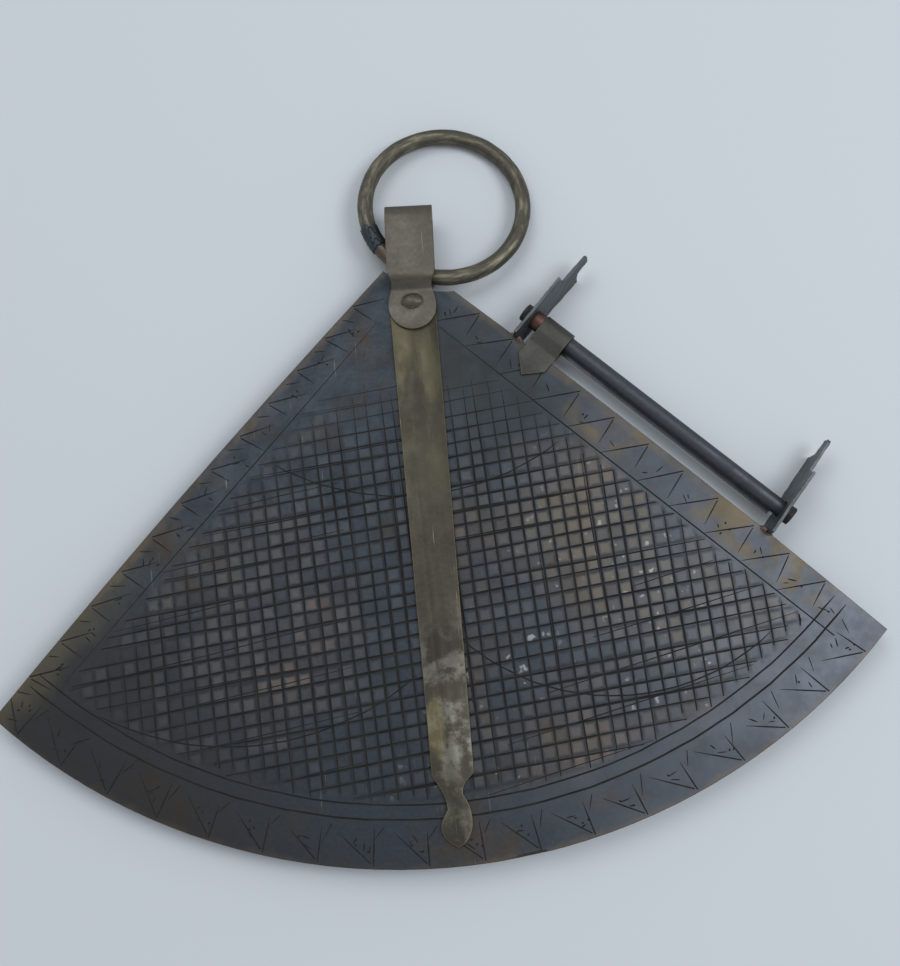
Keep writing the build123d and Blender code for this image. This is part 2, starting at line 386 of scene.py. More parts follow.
def doubled(strokes, hand, share):
    """Second cuts that start beside some strokes and run with them for a while."""
    extra = []
    for points, weights in strokes:
        if len(points) < 4 or hand.random() > share:
            continue
        first = hand.randrange(0, len(points) - 2)
        last = min(len(points), first + hand.randrange(2, 4))
        part = points[first:last]
        shift = hand.choice((-1, 1)) * hand.uniform(0.5, 0.8)
        run = (part[-1] - part[0]).normalized()
        side = Vector((-run.y, run.x))
        moved = [p + side * shift * (1 - 0.6 * i / len(part)) for i, p in enumerate(part)]
        extra.append(tapered(moved, 0.62, 0.3, 0.3))
    return extra


def arc_stroke(hand, centre, radius, first, last, weight, waver=0.12):
    """An arc about a centre; the angles run from the direction of the limb, in degrees."""
    count = max(6, round(abs(last - first) * radius / 260))
    points = []
    for i in range(count + 1):
        angle = first + (last - first) * i / count
        points.append(centre + polar(radius + hand.uniform(-waver, waver), angle))
    return tapered(points, weight)


def hand_stroke(hand, start, direction, sway, lengths, weight, end=0.3):
    """A stroke of a band, turned a little and made longer or shorter by the engraver's hand."""
    turned = direction + hand.uniform(-sway, sway)
    return tapered(stroke(start, turned, hand.uniform(*lengths)), weight, 0.8, end)


def band_divisions(hand):
    """The paired strokes of the three bands, along the rows or radii and slanting."""
    first, second, third = [], [], []
    for i in range(13):
        left = polar(9.5 + LEFT_DIVISION * i, -45)
        if left.length > 20:
            first.append(hand_stroke(hand, left, 11, 3, (9, 12.5), 1))
            second.append(hand_stroke(hand, left + Vector((0.2, -0.6)), -38, 5, (6, 8.5), 0.9))
            third.append(hand_stroke(hand, left + Vector((-3.6, -3.9)), -6, 14, (3, 5), 0.8))
        right = polar(5.5 + RIGHT_DIVISION * i, 45)
        if 20 < right.length < 160:
            first.append(hand_stroke(hand, right, 184.5, 2, (14, 15.2), 1, 0.4))
            second.append(hand_stroke(hand, right + Vector((-0.4, -0.6)), -126, 4, (7.5, 9), 0.9))
    for i in range(18):
        angle = -42.4 + LIMB_DIVISION * i
        outer = polar(RADIUS - 0.8, angle)
        first.append(tapered(stroke(outer, 92 + angle * 1.12, hand.uniform(8.2, 10.6)), 1, 0.9, 0.3))
        inner = polar(170.5 + hand.uniform(-0.8, 1.6), angle - 3.5 + hand.uniform(-0.3, 0.5))
        near = outer + (inner - outer).normalized() * 0.9
        second.append(tapered([near, near.lerp(inner, 0.5), inner], 0.95, 0.9, 0.3))
        third.append(hand_stroke(hand, polar(168.6, angle + 0.9), -118 + angle, 14, (3.5, 6), 0.7, 0.4))
    return first, second, third


def band_marks(hand):
    """Short strokes and dots between the divisions, in plain repeated shapes, none across another."""
    strokes, dots = [], []

    def add(family, points, weight, start, end):
        if all((a - b).length > MARK_GAP for other, _ in family for a in points for b in other):
            family.append(tapered(points, weight, start, end))

    def cluster(centre, turn, reach):
        kind = hand.randrange(4)
        for i in range((2, 3, 1, 2)[kind]):
            shift = Vector((hand.uniform(-1, 1), hand.uniform(-1, 1))) * reach * 0.5
            place = centre + shift + Vector((i * 1.2 - 1.2, 0))
            angle = turn + hand.choice((0, 60, 120)) + hand.uniform(-12, 12)
            add(strokes, stroke(place, angle, hand.uniform(1.3, 3.0), 3), hand.uniform(0.6, 1), 0.5, 0.4)
        for i in range((2, 1, 3, 0)[kind]):
            place = centre + Vector((hand.uniform(-1, 1), hand.uniform(-1, 1))) * reach
            add(dots, stroke(place, hand.uniform(0, 180), 0.7), 1.1, 0.8, 0.8)

    for i in range(13):
        if i > 0:
            left, right = 16 + LEFT_DIVISION * i, 12 + RIGHT_DIVISION * i
            cluster(polar(left, -45 + math.degrees(5.0 / left)), -45, 1.5)
            cluster(polar(right, 45 - math.degrees(6.0 / right)), 45, 1.8)
    for i in range(18):
        angle = -44.5 + LIMB_DIVISION * i
        cluster(polar(173.0, angle + 0.6), angle, 1.2)
        cluster(polar(175.5, angle + 1.6), angle + 90, 1.0)
    return strokes, dots


def tile(plate, pitch=14):
    """Divides the plate in small tiles, so that every cut meets small faces only."""
    activate(plate)
    bpy.ops.object.mode_set(mode="EDIT")
    for angle in (27, 117):
        normal = Vector((math.cos(math.radians(angle)), math.sin(math.radians(angle)), 0))
        for step in range(-16, 17):
            bpy.ops.mesh.select_all(action="SELECT")
            bpy.ops.mesh.bisect(plane_co=APEX + normal * step * pitch * MM, plane_no=normal)
    bpy.ops.object.mode_set(mode="OBJECT")


def engrave(plate):
    """Cuts every line of the plate, one family at a time so that no two strokes of a family cross."""
    tile(plate)
    engraving = settings()[0]
    hand = random.Random(engraving.hand)
    field = Field(engraving)
    pitch = engraving.grid_pitch / MM
    line, band, mark = engraving.grid_line, engraving.band_line, engraving.mark_line
    slope = engraving.row_slope
    upright = -math.pi / 2 + engraving.column_lean
    rows = grid_strokes(field, hand, pitch, slope, (-42, 12), ((0.6, 1.5), (0.2, 1.5), (0.5, 4)), -37)
    columns = grid_strokes(field, hand, pitch, upright, (-34, 34), ((4.5, 5), (0.4, 3), (0.4, 3.5)), -42)
    cut(plate, rows, line, "row_graver")
    cut(plate, columns, line, "column_graver")
    cut(plate, doubled(rows, hand, 0.55), line, "second_row_graver")
    cut(plate, doubled(columns, hand, 0.45), line, "second_column_graver")
    margins = ((0, 2), (1, 9), (0.5, 4))
    oblique = grid_strokes(
        field, hand, pitch * 3.2, slope + 0.05, (-20, 4), margins, -60, lambda p: p.x < -24
    )
    margins = ((0, 2), (0.5, 6), (0.2, 4))
    oblique += grid_strokes(
        field, hand, pitch * 2.6, slope + 0.12, (-26, 4), margins, -70, lambda p: p.x - p.y > 165
    )
    cut(plate, oblique, line * 0.6, "oblique_graver")
    left_shift = Vector((1, -1)).normalized() * field.left
    right_shift = Vector((-1, -1)).normalized() * field.right
    borders = [
        tapered([left_shift + polar(22 + 46 * i, -45) for i in range(4)], 0.8),
        tapered([right_shift + polar(24 + 48.5 * i, 45) for i in range(4)], 1.0, 0.4, 0.9),
    ]
    cut(plate, borders, band, "border_graver")
    limb = [
        arc_stroke(hand, Vector((0, 0)), engraving.inner_arc / MM, -44.4, 44.4, 1.0),
        arc_stroke(hand, Vector((0, 0)), engraving.outer_arc / MM, -44.4, 44.4, 1.15),
    ]
    cut(plate, limb, band * 1.15, "limb_graver")
    curves = [
        arc_stroke(hand, Vector((0, 0)), 75.5, -35, 33, 0.9),
        arc_stroke(hand, Vector((54, -73)), 65.5, -58, 38, 1.0),
        arc_stroke(hand, Vector((-54, -60)), 82.0, -32, 35, 1.0),
    ]
    cut(plate, curves, band, "curve_graver")
    first, second, third = band_divisions(hand)
    cut(plate, first, band, "division_graver")
    cut(plate, second, band, "slant_graver")
    cut(plate, third, band, "short_graver")
    strokes, dots = band_marks(hand)
    cut(plate, strokes, mark, "mark_graver")
    cut(plate, dots, mark, "dot_punch")
    chip = tapered(stroke(polar(RADIUS + 0.5, 3.6), 6, 13), 1.0, 0.3, 0.9)
    cut(plate, [chip], 2.6 * MM, "limb_chip", RIM)
    bpy.ops.object.mode_set(mode="EDIT")
    bpy.ops.mesh.select_all(action="SELECT")
    bpy.ops.mesh.quads_convert_to_tris(ngon_method="BEAUTY")
    bpy.ops.object.mode_set(mode="OBJECT")
    bpy.ops.object.shade_flat()


# Materials


def socket_input(group, name, kind, default=None):
    socket = group.interface.new_socket(name=name, in_out="INPUT", socket_type=kind)
    if default is not None:
        socket.default_value = default


class Net:
    """Adds linked nodes to a node tree."""

    def __init__(self, tree):
        self.tree = tree

    def node(self, kind, inputs=None, **values):
        node = self.tree.nodes.new(kind)
        for key, value in values.items():
            setattr(node, key, value)
        for key, value in (inputs or {}).items():
            if isinstance(value, bpy.types.NodeSocket):
                self.tree.links.new(value, node.inputs[key])
            else:
                node.inputs[key].default_value = value
        return node

    def math(self, operation, first, second=0.0):
        return self.node("ShaderNodeMath", {0: first, 1: second}, operation=operation).outputs[0]

    def plus(self, first, second):
        return self.math("ADD", first, second)

    def minus(self, first, second):
        return self.math("SUBTRACT", first, second)

    def times(self, *factors):
        product = factors[0]
        for factor in factors[1:]:
            product = self.math("MULTIPLY", product, factor)
        return product

    def most(self, *values):
        highest = values[0]
        for value in values[1:]:
            highest = self.math("MAXIMUM", highest, value)
        return highest

    def vector(self, operation, first, second=(0, 0, 0)):
        return self.node("ShaderNodeVectorMath", {0: first, 1: second}, operation=operation).outputs

    def mix(self, factor, first, second, blend="MIX"):
        inputs = {0: factor, 6: first, 7: second}
        return self.node("ShaderNodeMix", inputs, data_type="RGBA", blend_type=blend).outputs[2]

    def noise(self, vector, scale, detail=4.0, roughness=0.55):
        inputs = {"Vector": vector, "Scale": scale, "Detail": detail, "Roughness": roughness}
        return self.node("ShaderNodeTexNoise", inputs).outputs["Fac"]

    def jitter(self, vector, scale, amount, detail=4.0, roughness=0.55):
        """Noise about zero that makes a border ragged."""
        return self.times(self.minus(self.noise(vector, scale, detail, roughness), 0.5), amount)

    def range(self, value, low, high, to_low=0.0, to_high=1.0):
        inputs = {0: value, 1: low, 2: high, 3: to_low, 4: to_high}
        return self.node("ShaderNodeMapRange", inputs, interpolation_type="SMOOTHSTEP").outputs[0]


def patina_group():
    """Three drifting colours with pits: the group all the dark brass shares."""
    if "patina" in bpy.data.node_groups:
        return bpy.data.node_groups["patina"]
    group = bpy.data.node_groups.new("patina", "ShaderNodeTree")
    for name in ("Ground", "Drift", "Bloom"):
        socket_input(group, name, "NodeSocketColor")
    socket_input(group, "Vector", "NodeSocketVector")
    socket_input(group, "Drift Amount", "NodeSocketFloat", 0.5)
    socket_input(group, "Bloom Amount", "NodeSocketFloat", 0.3)
    group.interface.new_socket(name="Color", in_out="OUTPUT", socket_type="NodeSocketColor")
    group.interface.new_socket(name="Relief", in_out="OUTPUT", socket_type="NodeSocketFloat")
    group.interface.new_socket(name="Roughness", in_out="OUTPUT", socket_type="NodeSocketFloat")
    net = Net(group)
    given = group.nodes.new("NodeGroupInput").outputs
    wide = net.noise(given["Vector"], 32.0, 5.0, 0.6)
    middle = net.noise(given["Vector"], 110.0, 6.0, 0.65)
    fine = net.noise(given["Vector"], 900.0, 5.0, 0.7)
    drift_edge = net.minus(0.78, net.times(given["Drift Amount"], 0.5))
    mottle = net.plus(net.times(wide, 0.7), net.times(middle, 0.3))
    drift = net.range(mottle, drift_edge, net.plus(drift_edge, 0.16))
    bloom_edge = net.minus(0.8, net.times(given["Bloom Amount"], 0.5))
    bloom = net.range(middle, bloom_edge, net.plus(bloom_edge, 0.2))
    colour = net.mix(drift, given["Ground"], given["Drift"])
    colour = net.mix(net.times(bloom, 0.8), colour, given["Bloom"])
    shade = net.range(fine, 0.25, 0.75, 0.86, 1.14)
    shaded = net.node("ShaderNodeCombineColor", {0: shade, 1: shade, 2: shade}).outputs[0]
    colour = net.mix(1.0, colour, shaded, "MULTIPLY")
    out = group.nodes.new("NodeGroupOutput")
    group.links.new(colour, out.inputs["Color"])
    group.links.new(net.plus(net.times(middle, 0.6), net.times(fine, 0.4)), out.inputs["Relief"])
    group.links.new(net.range(middle, 0.3, 0.7, 0.42, 0.62), out.inputs["Roughness"])
    return group


def scratch_group():
    """Thin scratches in a few directions, as a mask."""
    if "scratches" in bpy.data.node_groups:
        return bpy.data.node_groups["scratches"]
    group = bpy.data.node_groups.new("scratches", "ShaderNodeTree")
    socket_input(group, "Vector", "NodeSocketVector")
    socket_input(group, "Density", "NodeSocketFloat", 0.3)
    group.interface.new_socket(name="Mask", in_out="OUTPUT", socket_type="NodeSocketFloat")
    net = Net(group)
    given = group.nodes.new("NodeGroupInput").outputs
    total = None
    for angle, stretch in ((0.35, 36.0), (1.2, 24.0), (2.3, 30.0)):
        inputs = {"Vector": given["Vector"], "Rotation": (0, 0, angle), "Scale": (stretch * 2.2, 2.2, 2.2)}
        turned = net.node("ShaderNodeMapping", inputs).outputs[0]
        lines = net.noise(turned, 26.0, 2.0, 0.5)
        thin = net.range(lines, net.minus(0.80, net.times(given["Density"], 0.12)), 0.84)
        total = thin if total is None else net.math("MAXIMUM", total, thin)
    patches = net.range(net.noise(given["Vector"], 70.0, 3.0), 0.45, 0.62)
    out = group.nodes.new("NodeGroupOutput")
    group.links.new(net.times(total, patches), out.inputs["Mask"])
    return group


def shader_net(name, metallic, roughness):
    """A new material with its Principled shader; constants go on the shader's own sockets."""
    material = bpy.data.materials.new(name)
    material.use_nodes = True
    shader = material.node_tree.nodes["Principled BSDF"]
    shader.inputs["Metallic"].default_value = metallic
    shader.inputs["Roughness"].default_value = roughness
    net = Net(material.node_tree)
    place = net.node("ShaderNodeTexCoord").outputs["Object"]
    return material, shader, net, place


def brass(name, ground, drift, bloom, drift_amount=0.5, bloom_amount=0.3, scratches=0.3):
    """Patinated brass: the shared patina, scratches through to brighter metal, and a fine relief."""
    colours = settings()[1]
    material, shader, net, place = shader_net(name, BRASS_METALLIC, 0.5)
    inputs = {
        "Ground": ground,
        "Drift": drift,
        "Bloom": bloom,
        "Vector": place,
        "Drift Amount": drift_amount,
        "Bloom Amount": bloom_amount,
    }
    patina = net.node("ShaderNodeGroup", node_tree=patina_group())
    for key, value in inputs.items():
        if isinstance(value, bpy.types.NodeSocket):
            net.tree.links.new(value, patina.inputs[key])
        else:
            patina.inputs[key].default_value = value
    marks = net.node("ShaderNodeGroup", node_tree=scratch_group())
    net.tree.links.new(place, marks.inputs["Vector"])
    marks.inputs["Density"].default_value = scratches
    shown = net.times(marks.outputs["Mask"], 0.7)
    colour = net.mix(shown, patina.outputs["Color"], tuple(colours.bright))
    net.tree.links.new(colour, shader.inputs["Base Color"])
    rough = net.minus(patina.outputs["Roughness"], net.times(marks.outputs["Mask"], 0.18))
    net.tree.links.new(rough, shader.inputs["Roughness"])
    height = net.minus(patina.outputs["Relief"], net.times(marks.outputs["Mask"], 0.25))
    bump = net.node("ShaderNodeBump", {"Height": height, "Strength": 0.6, "Distance": BRASS_RELIEF})
    net.tree.links.new(bump.outputs[0], shader.inputs["Normal"])
    return material, net, colour, shader


def plate_face_material():
    """The engraved face: its cells differ in tint, and the plate's rims are rubbed to gold."""
    engraving, colours = settings()[:2]
    material, net, colour, shader = brass(
        "plate_patina", tuple(colours.slate), tuple(colours.umber), PLATE_BLOOM, 0.55, 0.3, 0.55
    )
    place = net.tree.nodes["Texture Coordinate"].outputs["Object"]
    centred = net.vector("SUBTRACT", place, tuple(APEX))[0]
    split = net.node("ShaderNodeSeparateXYZ", {0: centred}).outputs
    radial = net.vector("LENGTH", centred)["Value"]
    to_left = net.math("DIVIDE", net.minus(split[0], split[1]), math.sqrt(2))
    to_right = net.math("DIVIDE", net.plus(split[0], split[1]), -math.sqrt(2))
    to_limb = net.minus(RADIUS * MM, radial)
    cloud = net.noise(place, 26.0, 4.0, 0.6)
    ragged = net.jitter(place, 60.0, 0.012)

    # cells of the grid
    cells, rims = [], []
    for angle in (engraving.row_slope + math.pi / 2, engraving.column_lean):
        axis = (math.cos(angle), math.sin(angle), 0)
        along = net.vector("DOT_PRODUCT", centred, axis)["Value"]
        along = net.math("DIVIDE", along, engraving.grid_pitch)
        cells.append(net.math("FLOOR", along))
        rims.append(net.math("ABSOLUTE", net.minus(net.math("FRACT", along), 0.5)))
    corner = net.node("ShaderNodeCombineXYZ", {0: cells[0], 1: cells[1]}).outputs[0]
    tint = net.node("ShaderNodeTexWhiteNoise", {"Vector": corner}, noise_dimensions="3D").outputs["Value"]
    rim = net.plus(net.math("MAXIMUM", rims[0], rims[1]), net.jitter(place, 420.0, 0.22, 3.0))
    middle = net.range(rim, 0.18, 0.46, 1.0, 0.0)
    field = net.times(
        net.range(to_left, engraving.left_band, engraving.left_band + 0.006),
        net.range(to_right, engraving.right_band, engraving.right_band + 0.002),
        net.range(net.minus(engraving.inner_arc, radial), 0.0, 0.004),
        net.range(split[1], -0.036, -0.07),
    )
    bare = net.times(middle, field)

    def spot(x, y, radius, strength):
        distance = net.vector("DISTANCE", centred, (x * MM, y * MM, 0))["Value"]
        distance = net.plus(distance, net.times(ragged, 3.0))
        return net.range(distance, radius * 0.35 * MM, radius * MM, strength, 0.0)

    # soiled beside the grooves; painted light makes the face greyer and brighter towards the right, painted
    # shade makes it darker and browner towards the left corner
    lit = net.mix(net.times(field, net.range(rim, 0.25, 0.48, 0.0, 0.5)), colour, tuple(colours.soot))
    # painted light: a lighter grey over the right of the face, kept off the soiled rims beside the grooves
    right = net.range(net.plus(split[0], net.times(ragged, 6.0)), -0.01, 0.14, 0.0, 0.8)
    soiled = net.minus(1.0, net.times(field, net.range(rim, 0.2, 0.5, 0.0, 0.65)))
    lit = net.mix(net.times(right, soiled), lit, PLATE_GREY_PAINTED_LIGHT)
    # painted shade: a dark colour laid over the left corner of the face
    corner = net.range(net.plus(net.times(split[1], 0.6), split[0]), -0.115, -0.185, 0.0, 0.75)
    lit = net.mix(corner, lit, PLATE_CORNER_PAINTED_SHADE)
    gold = net.most(spot(52, -90, 34, 1.0), spot(72, -112, 30, 0.9), spot(10, -63, 16, 0.8))
    rosy = net.most(spot(-49, -90, 26, 0.9), spot(-45, -114, 30, 1.0), spot(38, -150, 24, 0.6))
    tinted = net.times(net.range(cloud, 0.40, 0.58, 0.25, 1.0), net.range(tint, 0.1, 0.9, 0.35, 1.0))
    uneven = net.times(bare, tinted)
    lit = net.mix(net.times(net.times(gold, uneven), 0.45), lit, CELL_GOLD)
    lit = net.mix(net.times(net.times(rosy, uneven), 0.75), lit, CELL_COPPER)
    warm = net.times(bare, net.times(net.range(cloud, 0.52, 0.64), net.range(tint, 0.1, 0.9, 0.25, 1.0)))
    lit = net.mix(net.times(warm, 0.3), lit, tuple(colours.bronze))
    lit = net.mix(net.times(bare, net.range(tint, 0.3, 1.0, 0.0, 0.16)), lit, CELL_SILVER)
    glints = net.range(net.noise(place, 330.0, 2.0), 0.63, 0.70)
    glints = net.times(net.times(glints, bare), net.range(net.noise(place, 45.0, 2.0), 0.5, 0.6))
    glints = net.times(glints, net.range(net.minus(split[0], net.times(split[1], 0.6)), 0.06, 0.11))
    lit = net.mix(net.times(glints, 0.65), lit, CELL_GLINT)

    # rubbed rims
    gold = net.range(net.plus(to_left, ragged), 0.001, 0.010, 0.5, 0.0)
    gold = net.times(gold, net.range(radial, 0.10, 0.16))
    lit = net.mix(gold, lit, tuple(colours.olive))
    gold = net.range(to_right, 0.007, 0.0115, 0.8, 0.0)
    gold = net.times(gold, net.range(net.noise(place, 75.0, 3.0), 0.44, 0.58))
    gold = net.times(gold, net.range(radial, 0.045, 0.085))
    lit = net.mix(net.times(gold, net.range(radial, 0.15, 0.17, 1.0, 0.0)), lit, BAND_GOLD)
    greenish = net.times(spot(26, -36, 42, 0.8), net.range(to_right, 0.0, 0.012, 0.4, 1.0))
    lit = net.mix(greenish, lit, BAND_GREEN)
    edge = net.math("MINIMUM", net.math("MINIMUM", to_left, to_right), to_limb)
    edge = net.plus(edge, net.jitter(place, 240.0, 0.004))
    rubbed = net.times(net.range(edge, 0.0, 0.0020, 0.34, 0.0), net.range(cloud, 0.42, 0.6, 0.15, 1.0))
    lit = net.mix(rubbed, lit, tuple(colours.bronze))
    net.tree.links.new(lit, shader.inputs["Base Color"])
    return material


def arm_materials():
    """The strip of the index arm: gold-brown above, blotched, silvery towards the point."""
    colours = settings()[1]
    face, net, colour, shader = brass("arm_brass", *TINTS["arm_brass"], 0.5, 0.42, 0.9)
    place = net.tree.nodes["Texture Coordinate"].outputs["Object"]
    split = net.node("ShaderNodeSeparateXYZ", {0: place}).outputs
    height = net.math("DIVIDE", net.minus(split[1], APEX.y), MM)
    squeezed = net.node("ShaderNodeMapping", {"Vector": place, "Scale": (1, 0.3, 1)}).outputs[0]
    smear = net.noise(squeezed, 130.0, 5.0, 0.6)
    upper = net.times(net.range(height, -95, -35), net.range(smear, 0.40, 0.60, 0.1, 0.8))
    colour = net.mix(upper, colour, ARM_GOLD)

    def spot(x, y, wide, tall, strength):
        shift = (-(APEX.x + x * MM) / wide / MM, -(APEX.y + y * MM) / tall / MM, 0)
        inputs = {"Vector": place, "Location": shift, "Scale": (1 / wide / MM, 1 / tall / MM, 0)}
        gap = net.node("ShaderNodeMapping", inputs).outputs[0]
        distance = net.vector("LENGTH", gap)["Value"]
        loose = net.plus(distance, net.times(net.minus(smear, 0.5), 2.6))
        return net.range(loose, 0.45, 1.05, strength, 0.0)

    colour = net.mix(spot(1.5, -121, 6, 13, 0.75), colour, ARM_STAIN)
    colour = net.mix(spot(0.5, -45, 4, 9, 0.5), colour, ARM_SHADE)
    grain = net.noise(place, 170.0, 5.0, 0.65)
    lower = net.times(net.range(height, -104, -138), net.range(grain, 0.44, 0.62, 0.05, 0.75))
    lower = net.times(lower, net.range(height, -158, -150, 0.45, 1.0))
    colour = net.mix(lower, colour, ARM_SILVER)
    colour = net.mix(spot(-3.4, -141, 3.4, 9, 0.45), colour, ARM_YELLOW)
    net.tree.links.new(colour, shader.inputs["Base Color"])
    edge = brass("arm_edge", *TINTS["arm_edge"], tuple(colours.bright), 0.4, 0.5)[0]
    return face, edge


def ring_material():
    """Rubbed streaks along the wire that are partly painted highlights, a dark blue braze at the joint and a
    copper stretch below it.
    """
    low, high = (Vector(corner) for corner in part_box("ring"))
    centre = (low + high) / 2
    material, net, colour, shader = brass("ring_brass", *TINTS["ring_brass"], 0.5, 0.35, 0.3)
    place = net.tree.nodes["Texture Coordinate"].outputs["Object"]
    centred = net.vector("SUBTRACT", place, tuple(centre))[0]
    split = net.node("ShaderNodeSeparateXYZ", {0: centred}).outputs
    turn = net.math("ARCTAN2", split[1], split[0])
    away = net.vector("LENGTH", centred)["Value"]
    along = net.node("ShaderNodeCombineXYZ", {0: net.times(turn, 0.004), 1: away, 2: split[2]}).outputs[0]
    # bright streaks along the wire: partly rubbed brass, partly painted highlight
    streaks = net.range(net.noise(along, 760.0, 3.0, 0.6), 0.46, 0.66)
    lit = net.mix(net.times(streaks, 0.7), colour, WIRE_STREAK_AND_SHEEN)
    low, high = (Vector(corner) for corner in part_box("ring_joint"))
    middle = (low + high) / 2
    ragged = net.jitter(place, 500.0, 0.006, 4.0, 0.6)
    for offset, reach, tint, strength in (
        ((0.0, 0.0), 5.6, WIRE_BLUE, 0.9),
        ((5.5, -7.5), 6.5, WIRE_COPPER, 0.7),
    ):
        spot = middle + Vector((*offset, 0)) * MM
        distance = net.vector("DISTANCE", place, tuple(spot))["Value"]
        mask = net.range(net.plus(distance, ragged), reach * 0.7 * MM, reach * MM, strength, 0.0)
        lit = net.mix(mask, lit, tint)
    net.tree.links.new(lit, shader.inputs["Base Color"])
    return material


def plain_material(name, colour, metallic, roughness, relief=0.00005, scale=500.0, second=None):
    """One mottled colour with a fine relief, for grooves, copper and braze."""
    material, shader, net, place = shader_net(name, metallic, roughness)
    cloud = net.noise(place, scale, 5.0, 0.6)
    other = second or tuple(v * 0.45 for v in colour[:3]) + (1,)
    mixed = net.mix(net.range(cloud, 0.35, 0.65), tuple(colour), other)
    net.tree.links.new(mixed, shader.inputs["Base Color"])
    bump = net.node("ShaderNodeBump", {"Height": cloud, "Strength": 0.7, "Distance": relief})
    net.tree.links.new(bump.outputs[0], shader.inputs["Normal"])
    return material


# Operators


class QUADRANT_OT_plate(bpy.types.Operator):
    """Engrave the sector plate and give it its patina"""

    bl_idname = "quadrant.plate"
    bl_label = "Engraved Plate"

    def execute(self, context):
        colours, wear = settings()[1:]
        umber, bronze, bright = tuple(colours.umber), tuple(colours.bronze), tuple(colours.bright)
        rim = brass("plate_rim", umber, bronze, bright, 0.5, 0.3)[0]
        soot = tuple(colours.soot)
        groove = plain_material("groove_black", soot, 0.2, 0.75, scale=160.0, second=GROOVE_DUST)
        plate = copy_node("sector_plate", "engraved_plate", plate_face_material(), rim, groove)
        wear_edges(plate, wear.plate_edge)
        engrave(plate)
        finish_piece(plate, "plate", "sector_plate")
        return {"FINISHED"}


class QUADRANT_OT_index_arm(bpy.types.Operator):
    """Finish the index arm with worn, scratched olive brass"""

    bl_idname = "quadrant.index_arm"
    bl_label = "Index Arm"

    def execute(self, context):
        wear = settings()[2]
        face, edge = arm_materials()
        arm = copy_node("alidade", "index_arm_strip", face, edge)
        wear_edges(arm, wear.strip_edge)
        finish_piece(arm, "index_arm", "alidade")
        return {"FINISHED"}


class QUADRANT_OT_suspension(bpy.types.Operator):
    """Finish the shackle, the ring, its brazed joint and the rivet"""

    bl_idname = "quadrant.suspension"
    bl_label = "Shackle, Ring and Rivet"

    def execute(self, context):
        colours, wear = settings()[1:]
        face = brass("shackle_brass", *TINTS["shackle_brass"], 0.5, 0.35, 0.85)[0]
        edge = brass("shackle_edge", *TINTS["shackle_edge"], tuple(colours.bright), 0.5, 0.42)[0]
        shackle = copy_node("shackle", "folded_shackle", face, edge)
        wear_edges(shackle, wear.strip_edge)
        finish_piece(shackle, "shackle", "shackle")
        hammered = brass("rivet_brass", *TINTS["rivet_brass"], 0.5, 0.4, 0.5)[0]
        rivet = copy_node("pivot_rivet", "hammered_rivet", hammered)
        weather(rivet, 0.14 * MM, 0.28 * MM, 1.6 * MM)
        finish_piece(rivet, "plate", "pivot_rivet")
        wire = ring_material()
        ring = copy_node("ring", "hanging_ring", wire)
        weather(ring, 0.45 * MM, 0.3 * MM, 6 * MM)
        finish_piece(ring, "ring", "ring")
        joint = copy_node("ring_joint", "brazed_joint", wire)
        weather(joint, 0.3 * MM, 0.35 * MM, 2.2 * MM)
        finish_piece(joint, "ring", "ring_joint")
        return {"FINISHED"}


class QUADRANT_OT_sights(bpy.types.Operator):
    """Finish the sighting tube, its vanes, strap, collar, ferrules and braze"""

    bl_idname = "quadrant.sights"
    bl_label = "Sights"

    def execute(self, context):
        colours, wear = settings()[1:]
        tube_face = brass("tube_brass", *TINTS["tube_brass"], 0.5, 0.3, 0.3)[0]
        seam = brass("tube_seam", *TINTS["tube_seam"], 0.5, 0.4)[0]
        vane_face = brass("vane_brass", *TINTS["vane_brass"], 0.5, 0.42, 0.7)[0]
        strap_face = brass("strap_brass", *TINTS["strap_brass"], 0.5, 0.35, 0.6)[0]
        strap_edge = brass("strap_edge", *TINTS["strap_edge"], 0.5, 0.42)[0]
        black = plain_material("burr_black", BURR_BLACK, 0.5, 0.6)
        copper = plain_material("collar_copper", tuple(colours.copper), 0.7, 0.5, second=COLLAR_BROWN)
        braze = plain_material("foot_braze", tuple(colours.braze), 0.5, 0.55, 0.0002, 700.0, BRAZE_SHADE)
        for node, name, width, face, edge in (
            ("sight_tube", "sighting_tube", 0.15, tube_face, seam),
            ("tube_strap", "folded_strap", 0.18, strap_face, strap_edge),
            ("copper_collar", "copper_sleeve", 0.12, copper, copper),
        ):
            piece = copy_node(node, name, face, edge)
            wear_edges(piece, width * MM)
            finish_piece(piece, "plate", node)
        for node, name, cell, depth, grain, face in (
            ("upper_vane", "upper_sight_vane", 0.26, 0.42, 2.4, vane_face),
            ("lower_vane", "lower_sight_vane", 0.26, 0.42, 2.9, vane_face),
            ("upper_ferrule", "upper_burr", 0.16, 0.4, 1.3, black),
            ("lower_ferrule", "lower_burr", 0.16, 0.4, 1.5, black),
            ("upper_foot_braze", "upper_braze_bead", 0.12, 0.35, 1.0, braze),
            ("lower_foot_braze", "lower_braze_bead", 0.12, 0.35, 1.1, braze),
        ):
            piece = copy_node(node, name, face)
            weather(piece, cell * MM, depth * MM, grain * MM)
            finish_piece(piece, "plate", node)
        return {"FINISHED"}


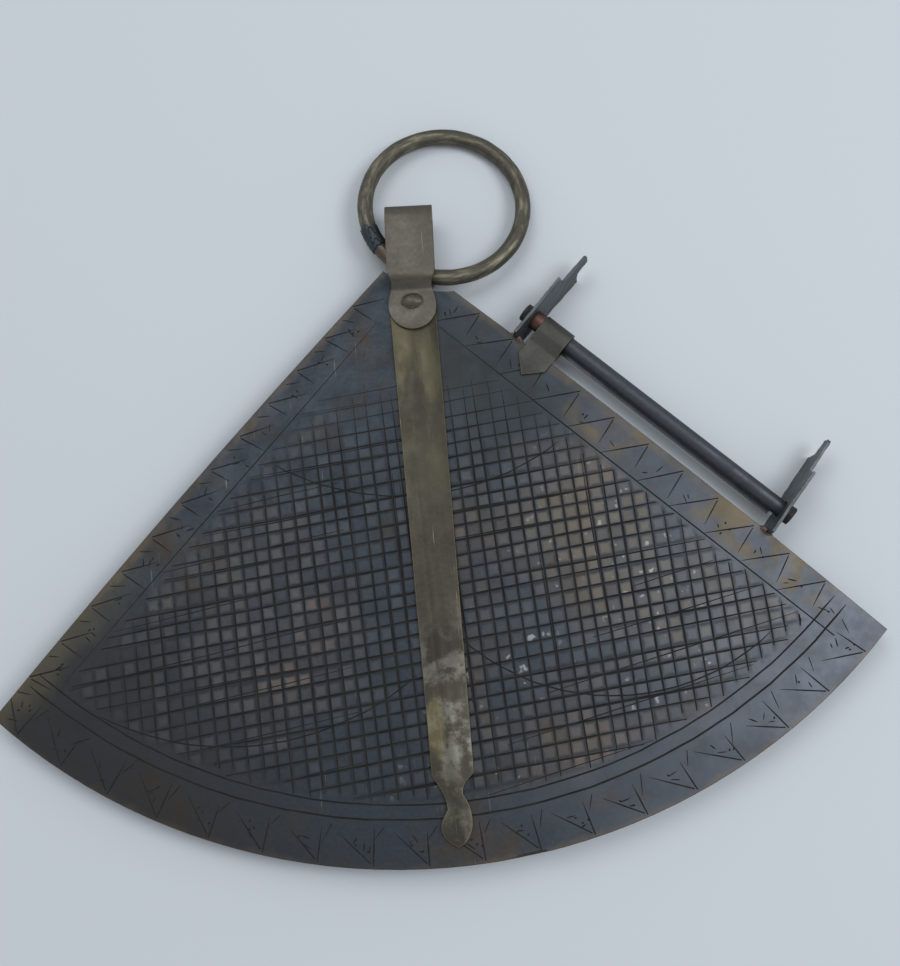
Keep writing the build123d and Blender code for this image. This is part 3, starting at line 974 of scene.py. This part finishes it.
class QUADRANT_OT_stage(bpy.types.Operator):
    """Lay the pale floor and set the soft lights and the camera"""

    bl_idname = "quadrant.stage"
    bl_label = "Stage"

    def execute(self, context):
        colours = settings()[1]
        deselect()
        bpy.ops.mesh.primitive_plane_add(size=6, location=(0, 0, 0))
        floor = context.object
        floor.name = "floor"
        material, shader = shader_net("pale_floor", 0.0, 0.95)[:2]
        shader.inputs["Specular IOR Level"].default_value = 0.1
        shader.inputs["Base Color"].default_value = tuple(colours.floor)
        floor.data.materials.append(material)

        world = bpy.data.worlds.new("studio")
        context.scene.world = world
        world.use_nodes = True
        tree = world.node_tree
        net = Net(tree)
        background = tree.nodes["Background"]
        background.inputs["Color"].default_value = SKY
        path = net.node("ShaderNodeLightPath").outputs
        seen = net.math("MAXIMUM", path["Is Camera Ray"], path["Is Transmission Ray"])
        tree.links.new(net.plus(SKY_STRENGTH, net.times(seen, SKY_IN_VIEW)), background.inputs["Strength"])

        for name, place, size, power in (
            ("overhead", (-0.25, 0.45, 0.95), 0.7, 3.2),
            ("window", (0.62, -0.05, 0.85), 0.5, 4.0),
        ):
            light = bpy.data.lights.new(name, "AREA")
            light.shape = "DISK"
            light.size = size
            light.energy = power
            light.color = LAMP_WHITE
            lamp = bpy.data.objects.new(name, light)
            context.scene.collection.objects.link(lamp)
            lamp.location = place
            lamp.rotation_euler = (-Vector(place)).to_track_quat("-Z", "Y").to_euler()

        camera = bpy.data.objects.new("camera", bpy.data.cameras.new("camera"))
        context.scene.collection.objects.link(camera)
        camera.data.sensor_width = CAMERA_SENSOR
        camera.data.lens = CAMERA_LENS
        camera.data.clip_start = 0.01
        camera.location = APEX + Vector(CAMERA_PLACE) * MM
        camera.rotation_euler = [math.radians(angle) for angle in CAMERA_TURN]
        context.scene.camera = camera
        context.scene.view_settings.view_transform = "Standard"
        return {"FINISHED"}


class QUADRANT_PT_panel(bpy.types.Panel):
    """The quadrant's sizes, colours and steps"""

    bl_idname = "QUADRANT_PT_panel"
    bl_label = "Quadrant"
    bl_space_type = "VIEW_3D"
    bl_region_type = "UI"
    bl_category = "Quadrant"

    def draw(self, context):
        for group in settings():
            for name in group.__annotations__:
                self.layout.prop(group, name)
        for operator in OPERATORS:
            self.layout.operator(operator.bl_idname)


OPERATORS = (
    QUADRANT_OT_plate,
    QUADRANT_OT_index_arm,
    QUADRANT_OT_suspension,
    QUADRANT_OT_sights,
    QUADRANT_OT_stage,
)
CLASSES = (QuadrantEngraving, QuadrantColours, QuadrantWear, *OPERATORS, QUADRANT_PT_panel)


def register():
    for cls in CLASSES:
        bpy.utils.register_class(cls)
    bpy.types.Scene.quadrant_engraving = PointerProperty(type=QuadrantEngraving)
    bpy.types.Scene.quadrant_colours = PointerProperty(type=QuadrantColours)
    bpy.types.Scene.quadrant_wear = PointerProperty(type=QuadrantWear)


def unregister():
    for name in ("quadrant_engraving", "quadrant_colours", "quadrant_wear"):
        delattr(bpy.types.Scene, name)
    for cls in reversed(CLASSES):
        bpy.utils.unregister_class(cls)


def main():
    register()
    bpy.ops.quadrant.plate()
    bpy.ops.quadrant.index_arm()
    bpy.ops.quadrant.suspension()
    bpy.ops.quadrant.sights()
    bpy.ops.quadrant.stage()
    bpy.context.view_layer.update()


if __name__ == "__main__":
    main()
